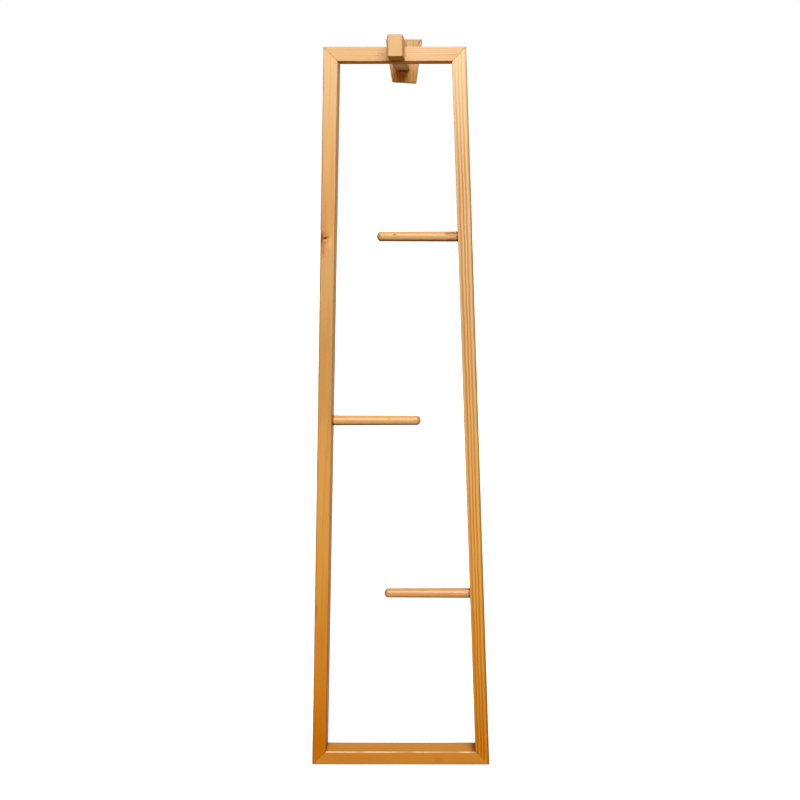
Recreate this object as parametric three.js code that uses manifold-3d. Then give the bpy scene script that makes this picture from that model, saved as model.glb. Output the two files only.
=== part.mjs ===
// Ladder clothes rack: a tapered, mitred pine frame with three pegs, held off the wall by a
// wooden hook arm that drops over the top rail and lifts off again.
// Millimetres. +X is the viewer's right, +Y points back to the wall and +Z is up.
// The origin is on the floor, in the middle of the bottom rail's underside.

import * as THREE from 'three';
import { mergeVertices } from 'three/addons/utils/BufferGeometryUtils.js';
import Module from 'manifold-3d';

const wasm = await Module();
wasm.setup();

// Frame
const frameHeight = 1750; // floor to the top of the top rail
const bottomWidth = 444; // across the outer corners at the floor
const topWidth = 328; // across the outer corners at the top
const memberFace = 34; // face width of a stile or rail, seen from the front
const memberDepth = 56; // front to back
const arrisRadius = 2.6; // rounding of the long edges
const mitreGap = 0.3; // hairline between two mitred faces

// Hidden dowels, two across each mitre
const dowelDiameter = 8;
const dowelLength = 27;
const dowelSpacing = 27; // between a corner's two dowels, front to back
const dowelChamfer = 0.9;
const dowelFluteDepth = 0.35;
const dowelFlutes = 14;
const dowelFit = 0.3; // glue space round a dowel
const dowelEndSpace = 1; // bore left empty past each end

// Pegs, each turned with a slight taper and set in a blind bore at full diameter
const pegRootDiameter = 24.6;
const pegTipDiameter = 23;
const pegNoseLength = 10; // rounded end
const pegBoreDepth = 23;
const pegFit = 0.3; // round the peg in its bore
const pegEndSpace = 0.6; // bore left empty past the peg's end
const upperPegHeight = 1315;
const middlePegHeight = 872;
const lowerPegHeight = 438;
const upperPegReach = 192; // from the stile's inner face to the tip
const middlePegReach = 213;
const lowerPegReach = 212;

// Hook arm, a bar with a notch that drops over the top rail
const armWidth = 36;
const armHeight = 49;
const armBridge = 18; // wood left above the notch
const armHeadLength = 81; // in front of the rail
const armReach = 198; // behind the rail, up to the wall plate
const armArrisRadius = 4; // rounding of its long edges
const armEndRadius = 3; // rounding round its front end
const armOffset = 5; // to the right of the frame's middle
const notchClearance = 0.6; // before and behind the rail
const seatGap = 0.3; // between the rail's top and the notch's roof

// Wall plate
const plateTopWidth = 91;
const plateBottomWidth = 60;
const plateHeight = 107;
const plateThickness = 20;
const plateShift = 3.5; // its middle lies this far to the right of the arm's
const plateEdgeRadius = 2;
const plateBelowArm = 31; // from the arm's underside down to the plate's foot
const plateFootSkew = 3.5; // how much higher the foot is cut at its left end
const plateGap = 0.3; // between the arm's end and the plate

// Two wood screws through the plate into the arm's end
const armScrewShank = 5;
const armScrewHead = 10;
const armScrewHeadDepth = 3.2;
const armScrewLength = 60;
const armScrewPoint = 8;
const armScrewSpacing = 20;
const armScrewSink = 0.6; // head below the plate's back
const screwFit = 0.3; // round a shank in its hole

// Keyhole hanger let into the back of the plate, over a pocket for the wall screw's head
const hangerWidth = 58;
const hangerHeight = 22;
const hangerThickness = 2;
const hangerCornerRadius = 7;
const hangerFit = 0.3; // round the hanger in its recess
const hangerFromTop = 21; // plate's top edge down to the hanger's middle
const keyholeEntry = 10; // hole that passes the wall screw's head
const keyholeSlot = 5.2; // slot that catches its neck
const keyholeRise = 8; // from the entry's middle up to the slot's end
const keyholeDrop = 4; // the entry's middle lies this far below the hanger's
const pocketWidth = 16;
const pocketHeight = 18;
const pocketDepth = 9;
const hangerScrewSpacing = 42;
const hangerScrewShank = 3;
const hangerScrewHead = 5.6;
const hangerScrewHeadDepth = 1.5;
const hangerScrewLength = 16;
const hangerScrewPoint = 4;

// Cross recess of a screw, as shares of its head's diameter
const recessLengthShare = 0.56;
const recessWidthShare = 0.15;
const recessDepthShare = 0.18;

const cutOverrun = 2; // how far a cutting shape runs past the wood
const cornerSteps = 3; // half the facets of a rounded edge
const noseSteps = 10; // facets of a peg's rounded end
const roundSides = 40; // sides of a peg
const smallSides = 24; // sides of a screw or a bore

const pineFrame = { color: 0xd9a35f, roughness: 0.42 };
const pinePeg = { color: 0xe0ae70, roughness: 0.38 };
const pineHook = { color: 0xe2b074, roughness: 0.42 };
const beechDowel = { color: 0xc9a77c, roughness: 0.7 };
const zincSteel = { color: 0xb9bcc0, roughness: 0.35, metalness: 0.9 };

// Geometry into a closed solid, placed by a matrix
function solid(geometry, matrix = new THREE.Matrix4()) {
  const bare = geometry.clone();
  bare.deleteAttribute('normal');
  bare.deleteAttribute('uv');
  const merged = mergeVertices(bare).applyMatrix4(matrix);
  const vertProperties = new Float32Array(merged.attributes.position.array);
  const order = merged.index.array;
  const kept = [];
  for (let first = 0; first < order.length; first += 3) {
    const [a, b, c] = order.slice(first, first + 3);
    if (a !== b && b !== c && c !== a) kept.push(a, b, c);
  }
  const triVerts = new Uint32Array(kept);
  return new wasm.Manifold(new wasm.Mesh({ numProp: 3, vertProperties, triVerts }));
}

// Closed solid into a named mesh with its own material
function piece(name, body, look) {
  const { numProp, vertProperties, triVerts } = body.getMesh();
  const geometry = new THREE.BufferGeometry();
  geometry.setAttribute('position', new THREE.BufferAttribute(vertProperties, numProp));
  geometry.setIndex(Array.from(triVerts));
  const flat = geometry.toNonIndexed();
  flat.computeVertexNormals();
  const mesh = new THREE.Mesh(flat, new THREE.MeshStandardMaterial(look));
  mesh.name = name;
  return mesh;
}

// Axes and origin into a placing matrix
function placing(xAxis, yAxis, zAxis, origin) {
  return new THREE.Matrix4().makeBasis(xAxis, yAxis, zAxis).setPosition(origin);
}

// A block by its lowest and highest corners
function block(low, high) {
  const size = new THREE.Vector3().subVectors(high, low);
  const middle = new THREE.Vector3().addVectors(low, high).multiplyScalar(0.5);
  const box = new THREE.BoxGeometry(size.x, size.y, size.z);
  return solid(box, new THREE.Matrix4().setPosition(middle));
}

// Outline of a rectangle with rounded corners, round the origin
function roundedRectangle(width, height, radius) {
  const x = width / 2;
  const y = height / 2;
  const shape = new THREE.Shape();
  shape.moveTo(-x + radius, -y);
  shape.lineTo(x - radius, -y);
  shape.absarc(x - radius, -y + radius, radius, -Math.PI / 2, 0);
  shape.lineTo(x, y - radius);
  shape.absarc(x - radius, y - radius, radius, 0, Math.PI / 2);
  shape.lineTo(-x + radius, y);
  shape.absarc(-x + radius, y - radius, radius, Math.PI / 2, Math.PI);
  shape.lineTo(-x, -y + radius);
  shape.absarc(-x + radius, -y + radius, radius, Math.PI, Math.PI * 3 / 2);
  return shape;
}

// Turned shape about +Z from [radius, height] pairs that start and end on the axis
function turned(profile, sides) {
  const points = profile.map(([radius, height]) => new THREE.Vector2(radius, height));
  return new THREE.LatheGeometry(points, sides).rotateX(Math.PI / 2);
}

// Plain round bar along +Z from one height to another
function roundBar(radius, from, to, sides = smallSides) {
  return turned([[0, from], [radius, from], [radius, to], [0, to]], sides);
}

// Turns a shape that points along +Z so that it points along +X, -X or -Y
const alongX = new THREE.Matrix4().makeRotationY(Math.PI / 2);
const alongMinusX = new THREE.Matrix4().makeRotationY(-Math.PI / 2);
const alongMinusY = new THREE.Matrix4().makeRotationX(Math.PI / 2);

function movedTo(turn, x, y, z) {
  return new THREE.Matrix4().makeTranslation(x, y, z).multiply(turn);
}

// The frame's outer corners, clockwise seen from the front
const corners = {
  bottom_left: new THREE.Vector3(-bottomWidth / 2, 0, 0),
  top_left: new THREE.Vector3(-topWidth / 2, 0, frameHeight),
  top_right: new THREE.Vector3(topWidth / 2, 0, frameHeight),
  bottom_right: new THREE.Vector3(bottomWidth / 2, 0, 0),
};
const cornerNames = Object.keys(corners);
const memberNames = ['left_stile', 'top_rail', 'right_stile', 'bottom_rail'];
const backward = new THREE.Vector3(0, 1, 0);

// Direction of the member that starts at a corner
function memberDirection(index) {
  const start = corners[cornerNames[index]];
  const end = corners[cornerNames[(index + 1) % cornerNames.length]];
  return new THREE.Vector3().subVectors(end, start).normalize();
}

// A corner's mitre: its plane's normal, the way across it to the inner corner, and its length
function mitre(index) {
  const before = memberDirection((index + cornerNames.length - 1) % cornerNames.length);
  const after = memberDirection(index);
  const normal = new THREE.Vector3().addVectors(before, after).normalize();
  const across = new THREE.Vector3().crossVectors(backward, normal);
  const length = memberFace / normal.dot(after);
  return { corner: corners[cornerNames[index]], normal, across, length };
}

// Solid that fills the far side of a mitre plane, side +1 past it and -1 before it
function mitreCutter(index, side) {
  const { corner, normal, across, length } = mitre(index);
  const reach = memberFace + memberDepth;
  const width = length + 2 * reach;
  const depth = memberDepth + 2 * cutOverrun;
  const box = new THREE.BoxGeometry(width, depth, reach);
  const middle = corner.clone()
    .addScaledVector(across, length / 2)
    .addScaledVector(normal, side * (reach - mitreGap) / 2);
  return solid(box, placing(across, backward, normal, middle));
}

// A stile or rail: rounded stock along one side of the frame, mitred at both ends
function frameMember(index) {
  const start = corners[cornerNames[index]];
  const end = corners[cornerNames[(index + 1) % cornerNames.length]];
  const along = memberDirection(index);
  const inward = new THREE.Vector3().crossVectors(backward, along);
  const stock = new THREE.ExtrudeGeometry(roundedRectangle(memberFace, memberDepth, arrisRadius), {
    depth: start.distanceTo(end) + 2 * cutOverrun,
    bevelEnabled: false,
    curveSegments: cornerSteps,
  });
  const origin = start.clone()
    .addScaledVector(inward, memberFace / 2)
    .addScaledVector(along, -cutOverrun);
  return solid(stock, placing(inward, backward, along, origin))
    .subtract(mitreCutter(index, -1))
    .subtract(mitreCutter((index + 1) % cornerNames.length, 1));
}

// The places of a corner's two dowels, each square to the mitre plane
function dowelPlaces(index) {
  const { corner, normal, across, length } = mitre(index);
  return ['front', 'back'].map((name, place) => {
    const origin = corner.clone()
      .addScaledVector(across, length / 2)
      .addScaledVector(backward, (place - 1 / 2) * dowelSpacing);
    const matrix = placing(across, backward, normal, origin);
    return { name: `${cornerNames[index]}_dowel_${name}`, matrix };
  });
}

function dowelBore() {
  const halfLength = dowelLength / 2 + dowelEndSpace;
  return roundBar(dowelDiameter / 2 + dowelFit, -halfLength, halfLength);
}

// Fluted dowel with chamfered ends, centred on the origin along Z
function flutedDowel() {
  const shape = new THREE.Shape();
  const steps = 2 * dowelFlutes;
  for (let step = 0; step < steps; step += 1) {
    const angle = step / steps * 2 * Math.PI;
    const radius = dowelDiameter / 2 - (step % 2) * dowelFluteDepth;
    const point = [radius * Math.cos(angle), radius * Math.sin(angle)];
    if (step === 0) shape.moveTo(...point);
    else shape.lineTo(...point);
  }
  return new THREE.ExtrudeGeometry(shape, {
    depth: dowelLength - 2 * dowelChamfer,
    bevelSize: dowelChamfer,
    bevelOffset: -dowelChamfer,
    bevelThickness: dowelChamfer,
    bevelSegments: 1,
  }).translate(0, 0, dowelChamfer - dowelLength / 2);
}

// How far a stile's inner face lies from the frame's middle at a height
function innerFaceAt(height) {
  const outer = bottomWidth / 2 + (topWidth - bottomWidth) / 2 * (height / frameHeight);
  const slantLength = Math.hypot((bottomWidth - topWidth) / 2, frameHeight);
  return outer - memberFace * (slantLength / frameHeight);
}

// The stile that each peg stands in, its height above the floor and its reach
const pegs = [
  { name: 'upper_peg', stile: 'right_stile', height: upperPegHeight, reach: upperPegReach },
  { name: 'middle_peg', stile: 'left_stile', height: middlePegHeight, reach: middlePegReach },
  { name: 'lower_peg', stile: 'right_stile', height: lowerPegHeight, reach: lowerPegReach },
];

// Turned peg along +Z, with height 0 where it leaves the stile
function turnedPeg(reach) {
  const root = pegRootDiameter / 2;
  const tip = pegTipDiameter / 2;
  const profile = [[0, pegEndSpace - pegBoreDepth], [root, pegEndSpace - pegBoreDepth], [root, 0]];
  for (let step = 0; step <= noseSteps; step += 1) {
    const angle = step / noseSteps * Math.PI / 2;
    const radius = step === noseSteps ? 0 : tip * Math.cos(angle);
    profile.push([radius, reach - pegNoseLength + pegNoseLength * Math.sin(angle)]);
  }
  return turned(profile, roundSides);
}

// A peg starts at its stile's inner face and points across the frame
function pegPlace({ stile, height }) {
  const inner = innerFaceAt(height);
  if (stile === 'right_stile') return movedTo(alongMinusX, inner, 0, height);
  return movedTo(alongX, -inner, 0, height);
}

function pegBore(peg) {
  const bore = roundBar(pegRootDiameter / 2 + pegFit, -pegBoreDepth, memberFace, roundSides);
  return solid(bore, pegPlace(peg));
}

const frame = new THREE.Group();
const dowelShape = solid(flutedDowel());
const allDowels = cornerNames.flatMap((name, index) => dowelPlaces(index));
for (const [index, name] of memberNames.entries()) {
  let body = frameMember(index);
  for (const { matrix } of allDowels) body = body.subtract(solid(dowelBore(), matrix));
  for (const peg of pegs.filter(({ stile }) => stile === name)) body = body.subtract(pegBore(peg));
  frame.add(piece(name, body, pineFrame));
}
for (const { name, matrix } of allDowels) {
  const dowel = piece(name, dowelShape, beechDowel);
  dowel.applyMatrix4(matrix);
  frame.add(dowel);
}
for (const peg of pegs) {
  const turnedPiece = piece(peg.name, solid(turnedPeg(peg.reach)), pinePeg);
  turnedPiece.applyMatrix4(pegPlace(peg));
  frame.add(turnedPiece);
}

// The bracket is drawn with height 0 on the rail's top and depth 0 in the rail's middle
const armTop = seatGap + armBridge;
const armBottom = armTop - armHeight;
const notchHalf = memberDepth / 2 + notchClearance;
const armFront = -memberDepth / 2 - armHeadLength;
const plateFront = memberDepth / 2 + armReach;
const plateBack = plateFront + plateThickness;
const plateFoot = armBottom - plateBelowArm;
const plateTop = plateFoot + plateHeight;
const armMiddle = (armTop + armBottom) / 2;
const hangerMiddle = plateTop - hangerFromTop;
const armScrewBack = plateBack - armScrewSink;
const armScrewHeights = [-1, 1].map((side) => armMiddle + side * armScrewSpacing / 2);
const hangerScrewPlaces = [-1, 1].map((side) => side * hangerScrewSpacing / 2);

// Stands an extrusion of an XZ outline along +Y from a starting depth
function standing(geometry, from) {
  const place = placing(
    new THREE.Vector3(-1, 0, 0),
    new THREE.Vector3(0, 0, 1),
    new THREE.Vector3(0, 1, 0),
    new THREE.Vector3(0, from, 0),
  );
  return solid(geometry, place);
}

// Countersunk screw along -Y: its head's face at depth 0, its shank towards the front
function screwShape({ shank, head, headDepth, length, point }) {
  const body = solid(turned([
    [0, 0],
    [head / 2, 0],
    [shank / 2, headDepth],
    [shank / 2, length - point],
    [0, length],
  ], smallSides), alongMinusY);
  const halfLength = head * recessLengthShare / 2;
  const halfWidth = head * recessWidthShare / 2;
  const depth = head * recessDepthShare;
  const slots = [[halfLength, halfWidth], [halfWidth, halfLength]].map(([x, z]) => block(
    new THREE.Vector3(-x, -depth, -z),
    new THREE.Vector3(x, head, z),
  ));
  return body.subtract(slots[0]).subtract(slots[1]);
}

// Hole for a screw, wider than the screw all round by the fit
function screwHole({ shank, head, headDepth, length }, sink) {
  return solid(turned([
    [0, -sink - cutOverrun],
    [head / 2 + screwFit, -sink - cutOverrun],
    [head / 2 + screwFit, 0],
    [shank / 2 + screwFit, headDepth],
    [shank / 2 + screwFit, length + screwFit],
    [0, length + screwFit],
  ], smallSides), alongMinusY);
}

const armScrew = {
  shank: armScrewShank,
  head: armScrewHead,
  headDepth: armScrewHeadDepth,
  length: armScrewLength,
  point: armScrewPoint,
};
const hangerScrew = {
  shank: hangerScrewShank,
  head: hangerScrewHead,
  headDepth: hangerScrewHeadDepth,
  length: hangerScrewLength,
  point: hangerScrewPoint,
};

function armScrewHoles() {
  const hole = screwHole(armScrew, armScrewSink);
  return armScrewHeights.map((height) => hole.translate([0, armScrewBack, height]));
}

// Bar with a rounded front end, a notch from below and a square rear end against the plate
function hookArm() {
  const stock = new THREE.ExtrudeGeometry(roundedRectangle(armWidth, armHeight, armArrisRadius), {
    depth: plateFront - armFront,
    bevelSize: armEndRadius,
    bevelOffset: -armEndRadius,
    bevelThickness: armEndRadius,
    bevelSegments: cornerSteps,
    curveSegments: cornerSteps,
  });
  const bar = standing(stock, armFront + armEndRadius).translate([0, 0, armMiddle]);
  const half = armWidth / 2 + cutOverrun;
  const notch = block(
    new THREE.Vector3(-half, -notchHalf, armBottom - cutOverrun),
    new THREE.Vector3(half, notchHalf, seatGap),
  );
  const pastPlate = block(
    new THREE.Vector3(-half, plateFront - plateGap, armBottom - cutOverrun),
    new THREE.Vector3(half, plateFront + 2 * armEndRadius + cutOverrun, armTop + cutOverrun),
  );
  let arm = bar.subtract(notch).subtract(pastPlate);
  for (const hole of armScrewHoles()) arm = arm.subtract(hole);
  return arm;
}

// Trapezium seen from behind, wide at the top, its foot cut a little out of square
function plateOutline() {
  return new THREE.Shape([
    new THREE.Vector2(-plateBottomWidth / 2, 0),
    new THREE.Vector2(plateBottomWidth / 2, plateFootSkew),
    new THREE.Vector2(plateTopWidth / 2, plateHeight),
    new THREE.Vector2(-plateTopWidth / 2, plateHeight),
  ]);
}

// Keyhole: a round entry with a narrow slot that rises from it, cut through along Y
function keyholeCutter() {
  const entryHeight = hangerMiddle - keyholeDrop;
  const slotEnd = entryHeight + keyholeRise;
  const start = plateBack + cutOverrun;
  const length = hangerThickness + 2 * cutOverrun;
  const [entry, end] = [[keyholeEntry, entryHeight], [keyholeSlot, slotEnd]].map(
    ([width, z]) => solid(roundBar(width / 2, 0, length), movedTo(alongMinusY, 0, start, z)),
  );
  const way = block(
    new THREE.Vector3(-keyholeSlot / 2, start - length, entryHeight),
    new THREE.Vector3(keyholeSlot / 2, start, slotEnd),
  );
  return entry.add(end).add(way);
}

// The hanger's flat strip, grown all round by fit and carried past the plate's back by overrun
function hangerStrip(fit, overrun) {
  const width = hangerWidth + 2 * fit;
  const height = hangerHeight + 2 * fit;
  const shape = roundedRectangle(width, height, hangerCornerRadius + fit);
  const strip = new THREE.ExtrudeGeometry(shape, {
    depth: hangerThickness + fit + overrun,
    bevelEnabled: false,
    curveSegments: cornerSteps,
  });
  return standing(strip, plateBack - hangerThickness - fit).translate([0, 0, hangerMiddle]);
}

function hangerScrewHoles() {
  const hole = screwHole(hangerScrew, 0);
  return hangerScrewPlaces.map((x) => hole.translate([x, plateBack, hangerMiddle]));
}

// Trapezium with eased front edges, bored and recessed from the back
function wallPlate() {
  const blank = new THREE.ExtrudeGeometry(plateOutline(), {
    depth: plateThickness,
    bevelSize: plateEdgeRadius,
    bevelOffset: -plateEdgeRadius,
    bevelThickness: plateEdgeRadius,
    bevelSegments: cornerSteps,
  });
  const half = Math.max(plateTopWidth, plateBottomWidth) + cutOverrun;
  const behind = block(
    new THREE.Vector3(-half, plateBack, plateFoot - cutOverrun),
    new THREE.Vector3(half, plateBack + 2 * plateEdgeRadius + cutOverrun, plateTop + cutOverrun),
  );
  const pocketFront = plateBack - hangerThickness - pocketDepth;
  const pocket = block(
    new THREE.Vector3(-pocketWidth / 2, pocketFront, hangerMiddle - pocketHeight / 2),
    new THREE.Vector3(pocketWidth / 2, plateBack + cutOverrun, hangerMiddle + pocketHeight / 2),
  );
  let plate = standing(blank, plateFront + plateEdgeRadius)
    .translate([plateShift, 0, plateFoot])
    .subtract(behind)
    .subtract(pocket)
    .subtract(hangerStrip(hangerFit, cutOverrun));
  for (const hole of [...armScrewHoles(), ...hangerScrewHoles()]) plate = plate.subtract(hole);
  return plate;
}

function keyholeHanger() {
  let hanger = hangerStrip(0, 0).subtract(keyholeCutter());
  for (const hole of hangerScrewHoles()) hanger = hanger.subtract(hole);
  return hanger;
}

const bracket = new THREE.Group();
bracket.position.set(armOffset, 0, frameHeight);
bracket.add(piece('hook_arm', hookArm(), pineHook));
bracket.add(piece('wall_plate', wallPlate(), pineHook));
bracket.add(piece('keyhole_hanger', keyholeHanger(), zincSteel));

const armScrewBody = screwShape(armScrew);
for (const [index, name] of ['lower_arm_screw', 'upper_arm_screw'].entries()) {
  const screw = piece(name, armScrewBody, zincSteel);
  screw.position.set(0, armScrewBack, armScrewHeights[index]);
  bracket.add(screw);
}
const hangerScrewBody = screwShape(hangerScrew);
for (const [index, name] of ['left_hanger_screw', 'right_hanger_screw'].entries()) {
  const screw = piece(name, hangerScrewBody, zincSteel);
  screw.position.set(hangerScrewPlaces[index], plateBack, hangerMiddle);
  bracket.add(screw);
}

const rack = new THREE.Group();
rack.add(frame, bracket);

export default rack;
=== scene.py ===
import math
from collections import namedtuple
from types import SimpleNamespace

import bmesh
import bpy
from mathutils import Matrix, Vector


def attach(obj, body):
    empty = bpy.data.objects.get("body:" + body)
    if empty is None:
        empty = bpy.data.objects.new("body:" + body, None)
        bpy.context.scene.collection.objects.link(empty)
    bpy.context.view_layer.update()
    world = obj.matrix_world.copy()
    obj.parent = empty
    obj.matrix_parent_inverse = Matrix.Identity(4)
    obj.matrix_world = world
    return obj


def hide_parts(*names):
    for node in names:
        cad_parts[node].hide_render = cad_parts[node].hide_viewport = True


# Ladder clothes rack in varnished pine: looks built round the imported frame.
# Metres; +X is the viewer's right, +Y points back to the wall and +Z is up.

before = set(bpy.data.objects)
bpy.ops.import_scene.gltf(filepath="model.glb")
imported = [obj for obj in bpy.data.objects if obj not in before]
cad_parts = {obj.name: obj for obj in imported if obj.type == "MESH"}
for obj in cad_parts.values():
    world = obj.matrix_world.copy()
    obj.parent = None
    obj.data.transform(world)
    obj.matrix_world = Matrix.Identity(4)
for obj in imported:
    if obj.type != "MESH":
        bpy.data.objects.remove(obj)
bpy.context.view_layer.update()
print("frame loaded:", len(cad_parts), "nodes")

quarter = math.pi / 2  # a quarter turn


def tone(red, green, blue):  # a screen colour, 0 to 255, as the shader wants it
    def linear(value):
        share = value / 255
        return share / 12.92 if share <= 0.04045 else ((share + 0.055) / 1.055) ** 2.4
    return (linear(red), linear(green), linear(blue), 1.0)


# Node trees written as sums

class Wire:  # one output of a node, which can stand in a sum
    def __init__(self, bench, socket):
        self.bench = bench
        self.socket = socket

    def __add__(self, other):
        return self.bench.sum("ADD", self, other)

    def __sub__(self, other):
        return self.bench.sum("SUBTRACT", self, other)

    def __rsub__(self, other):
        return self.bench.sum("SUBTRACT", other, self)

    def __mul__(self, other):
        return self.bench.sum("MULTIPLY", self, other)

    def __truediv__(self, other):
        return self.bench.sum("DIVIDE", self, other)

    __radd__, __rmul__ = __add__, __mul__


class Bench:  # adds nodes to one tree
    def __init__(self, tree):
        self.tree = tree
        tree.nodes.clear()

    def plug(self, socket, value):
        if isinstance(value, list):
            for wire in value:
                self.plug(socket, wire)
        elif isinstance(value, Wire):
            self.tree.links.new(value.socket, socket)
        else:
            socket.default_value = value

    def add(self, kind, settings=None, inputs=None, output=0):
        node = self.tree.nodes.new(kind)
        for name, value in (settings or {}).items():
            if name == "stops":
                self.setStops(node.color_ramp, value)
            else:
                setattr(node, name, value)
        for name, value in (inputs or {}).items():
            self.plug(node.inputs[name], value)
        return node if output is None else Wire(self, node.outputs[output])

    def setStops(self, ramp, stops):
        while len(ramp.elements) < len(stops):
            ramp.elements.new(0.5)
        for element, (place, colour) in zip(ramp.elements, stops):
            element.position = place
            element.color = colour

    def sum(self, operation, *values):
        return self.add("ShaderNodeMath", {"operation": operation}, dict(enumerate(values)))

    def clamp(self, value):
        return self.sum("MINIMUM", self.sum("MAXIMUM", value, 0.0), 1.0)

    def smooth(self, value, start, end):  # 0 before start and 1 past end
        low, high, before, after = (start, end, 0.0, 1.0) if start <= end else (end, start, 1.0, 0.0)
        return self.add("ShaderNodeMapRange", {"interpolation_type": "SMOOTHSTEP"}, {
            0: value, 1: low, 2: high, 3: before, 4: after,
        })

    def length(self, *parts):
        total = parts[0] * parts[0]
        for part in parts[1:]:
            total = total + part * part
        return self.sum("SQRT", total)

    def split(self, vector):
        node = self.add("ShaderNodeSeparateXYZ", inputs={0: vector}, output=None)
        return [Wire(self, socket) for socket in node.outputs]

    def vector(self, x, y, z):
        return self.add("ShaderNodeCombineXYZ", inputs={0: x, 1: y, 2: z})

    def tint(self, factor, first, second, mode="MIX"):
        settings = {"data_type": "RGBA", "blend_type": mode, "clamp_factor": True}
        return self.add("ShaderNodeMix", settings, {0: factor, 6: first, 7: second}, output=2)

    def noise(self, vector, scale=1.0, detail=2.0):
        return self.add("ShaderNodeTexNoise", inputs={"Vector": vector, "Scale": scale, "Detail": detail})

    def bump(self, strength, distance, height):
        inputs = {"Strength": strength, "Distance": distance, "Height": height}
        return self.add("ShaderNodeBump", inputs=inputs)

    def finish(self, inputs):
        shader = self.add("ShaderNodeBsdfPrincipled", inputs=inputs)
        self.add("ShaderNodeOutputMaterial", inputs={"Surface": shader}, output=None)


def newMaterial(name):
    material = bpy.data.materials.new(name)
    material.use_nodes = True
    return material


# Varnished pine, as a solid block of growth rings that each piece is cut from

woodToneAndTopLight = {
    "heights": (1.75, 1.5, 1.16, 0.66, 0.33, 0.06),  # above the floor
    "tones": (  # colour at those heights, paler towards the top: mostly painted light falling from above, partly the wood's own change
        tone(250, 205, 150), tone(233, 183, 121), tone(217, 166, 101),
        tone(219, 155, 73), tone(208, 139, 43), tone(190, 112, 16),
    ),
    "tallest": 1.8,
    "fadeSpan": (1.45, 1.72),  # heights over which rings grow faint
    "streakTint": (0.86, 0.77, 0.66), "streakSpan": (0.45, 0.8), "fibreDepth": 0.36, "fibreBase": 0.12,
    "fleckTint": (0.52, 0.36, 0.22), "fleckSpan": (0.7, 0.78), "fleckDepth": 0.45,
    "blushTint": (0.93, 0.8, 0.68), "blushSpan": (0.46, 0.8),
}
edges = {  # the rounded long edges, and the front ones that a piece picks out for painted shade or a painted highlight
    "tint": (0.8, 0.64, 0.44), "reach": 0.0035, "strength": 0.6, "base": 0.35, "span": (0.25, 0.75),
    "fullX": 0.2, "fullY": 0.3, "arrisPatchBase": 0.3, "arrisPatchSpan": (0.34, 0.62),
}
joints = {  # glue lines at the mitres, and painted shade in the gap round the pegs
    "tint": (0.42, 0.25, 0.11), "core": 0.0003, "seamReach": 0.0021,
    "breakBase": 0.35, "breakDepth": 0.9, "breakSpan": (0.38, 0.66),
    "boreReach": 0.0018, "boreDepth": 0.8, "boreSpan": (0.0, 0.01), "bandFade": 0.0008,
}
rim = {"across": 420, "along": 190, "plane": 1.5, "detail": 3.0, "depth": 0.9, "reach": 1.05}  # of a mark
relief = {"late": 0.5, "fibre": 0.35, "strand": 0.3, "fleck": -0.5, "groove": -1.4}
gloss = {"cloud": 0.16, "early": 0.05, "fibre": 0.06, "edge": 0.06}
textures = {  # scale across the grain, scale and shift along it, and detail
    "wander": (9, 1.6, 0, 2.0), "drift": (40, 6, 7, 2.0), "patch": (60, 18, 0, 2.0),
    "fibre": (1500, 22, 0, 3.0), "strand": (330, 5, 0, 3.0), "dash": (900, 55, 3, 1.0),
    "cloud": (14, 3.5, 11, 3.0), "breaks": (130, 0, 2, 2.0),
}
years = {"scale": 0.43, "plane": 3.7, "knotStretch": 1.3}
narrowRing = (  # how dark a ring is, from its inside to its outside
    (0.0, 0.1), (0.08, 0.02), (0.42, 0.12), (0.74, 0.62), (0.9, 1.0), (0.96, 0.85), (1.0, 0.1),
)
broadRing = ((0.0, 0.2), (0.08, 0.0), (0.36, 0.08), (0.58, 0.72), (0.76, 1.0), (0.92, 0.9), (1.0, 0.2))
plainPine = {  # what a cut of pine has where its piece says nothing else
    "wander": 0.008, "ripple": 0.0014, "uneven": 1.1,  # how straight the rings run
    "ring": narrowRing, "ringDepth": 0.75, "luck": 0.45, "fadeTop": 0.0,
    "lateWood": (0.79, 0.63, 0.42),  # what the dark half of a ring does to the colour
    "streaks": 0.5, "clouds": 0.5, "cast": (1, 1, 1), "skin": (0.004, 0.014),
    "roughness": 0.46, "shine": 0.0, "coat": 0.08, "coatRoughness": 0.3,
    "relief": 0.35, "reliefDepth": 0.0003,
    "knots": [], "marks": [], "arrises": [], "faces": [], "seams": [], "bores": [], "bands": [],
}
Mark = namedtuple("Mark", "at size tint strength core tilt", defaults=(1.0, 0.3, 0))  # across and along
# a chosen front edge: painted shade, or a painted highlight where paint is set
Arris = namedtuple("Arris", "side strength tint reach paint", defaults=(0.004, False))
Face = namedtuple("Face", "way span tint along bare", defaults=(None, False))
Band = namedtuple("Band", "start end strength tint fade", defaults=(0.0008,))


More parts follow.
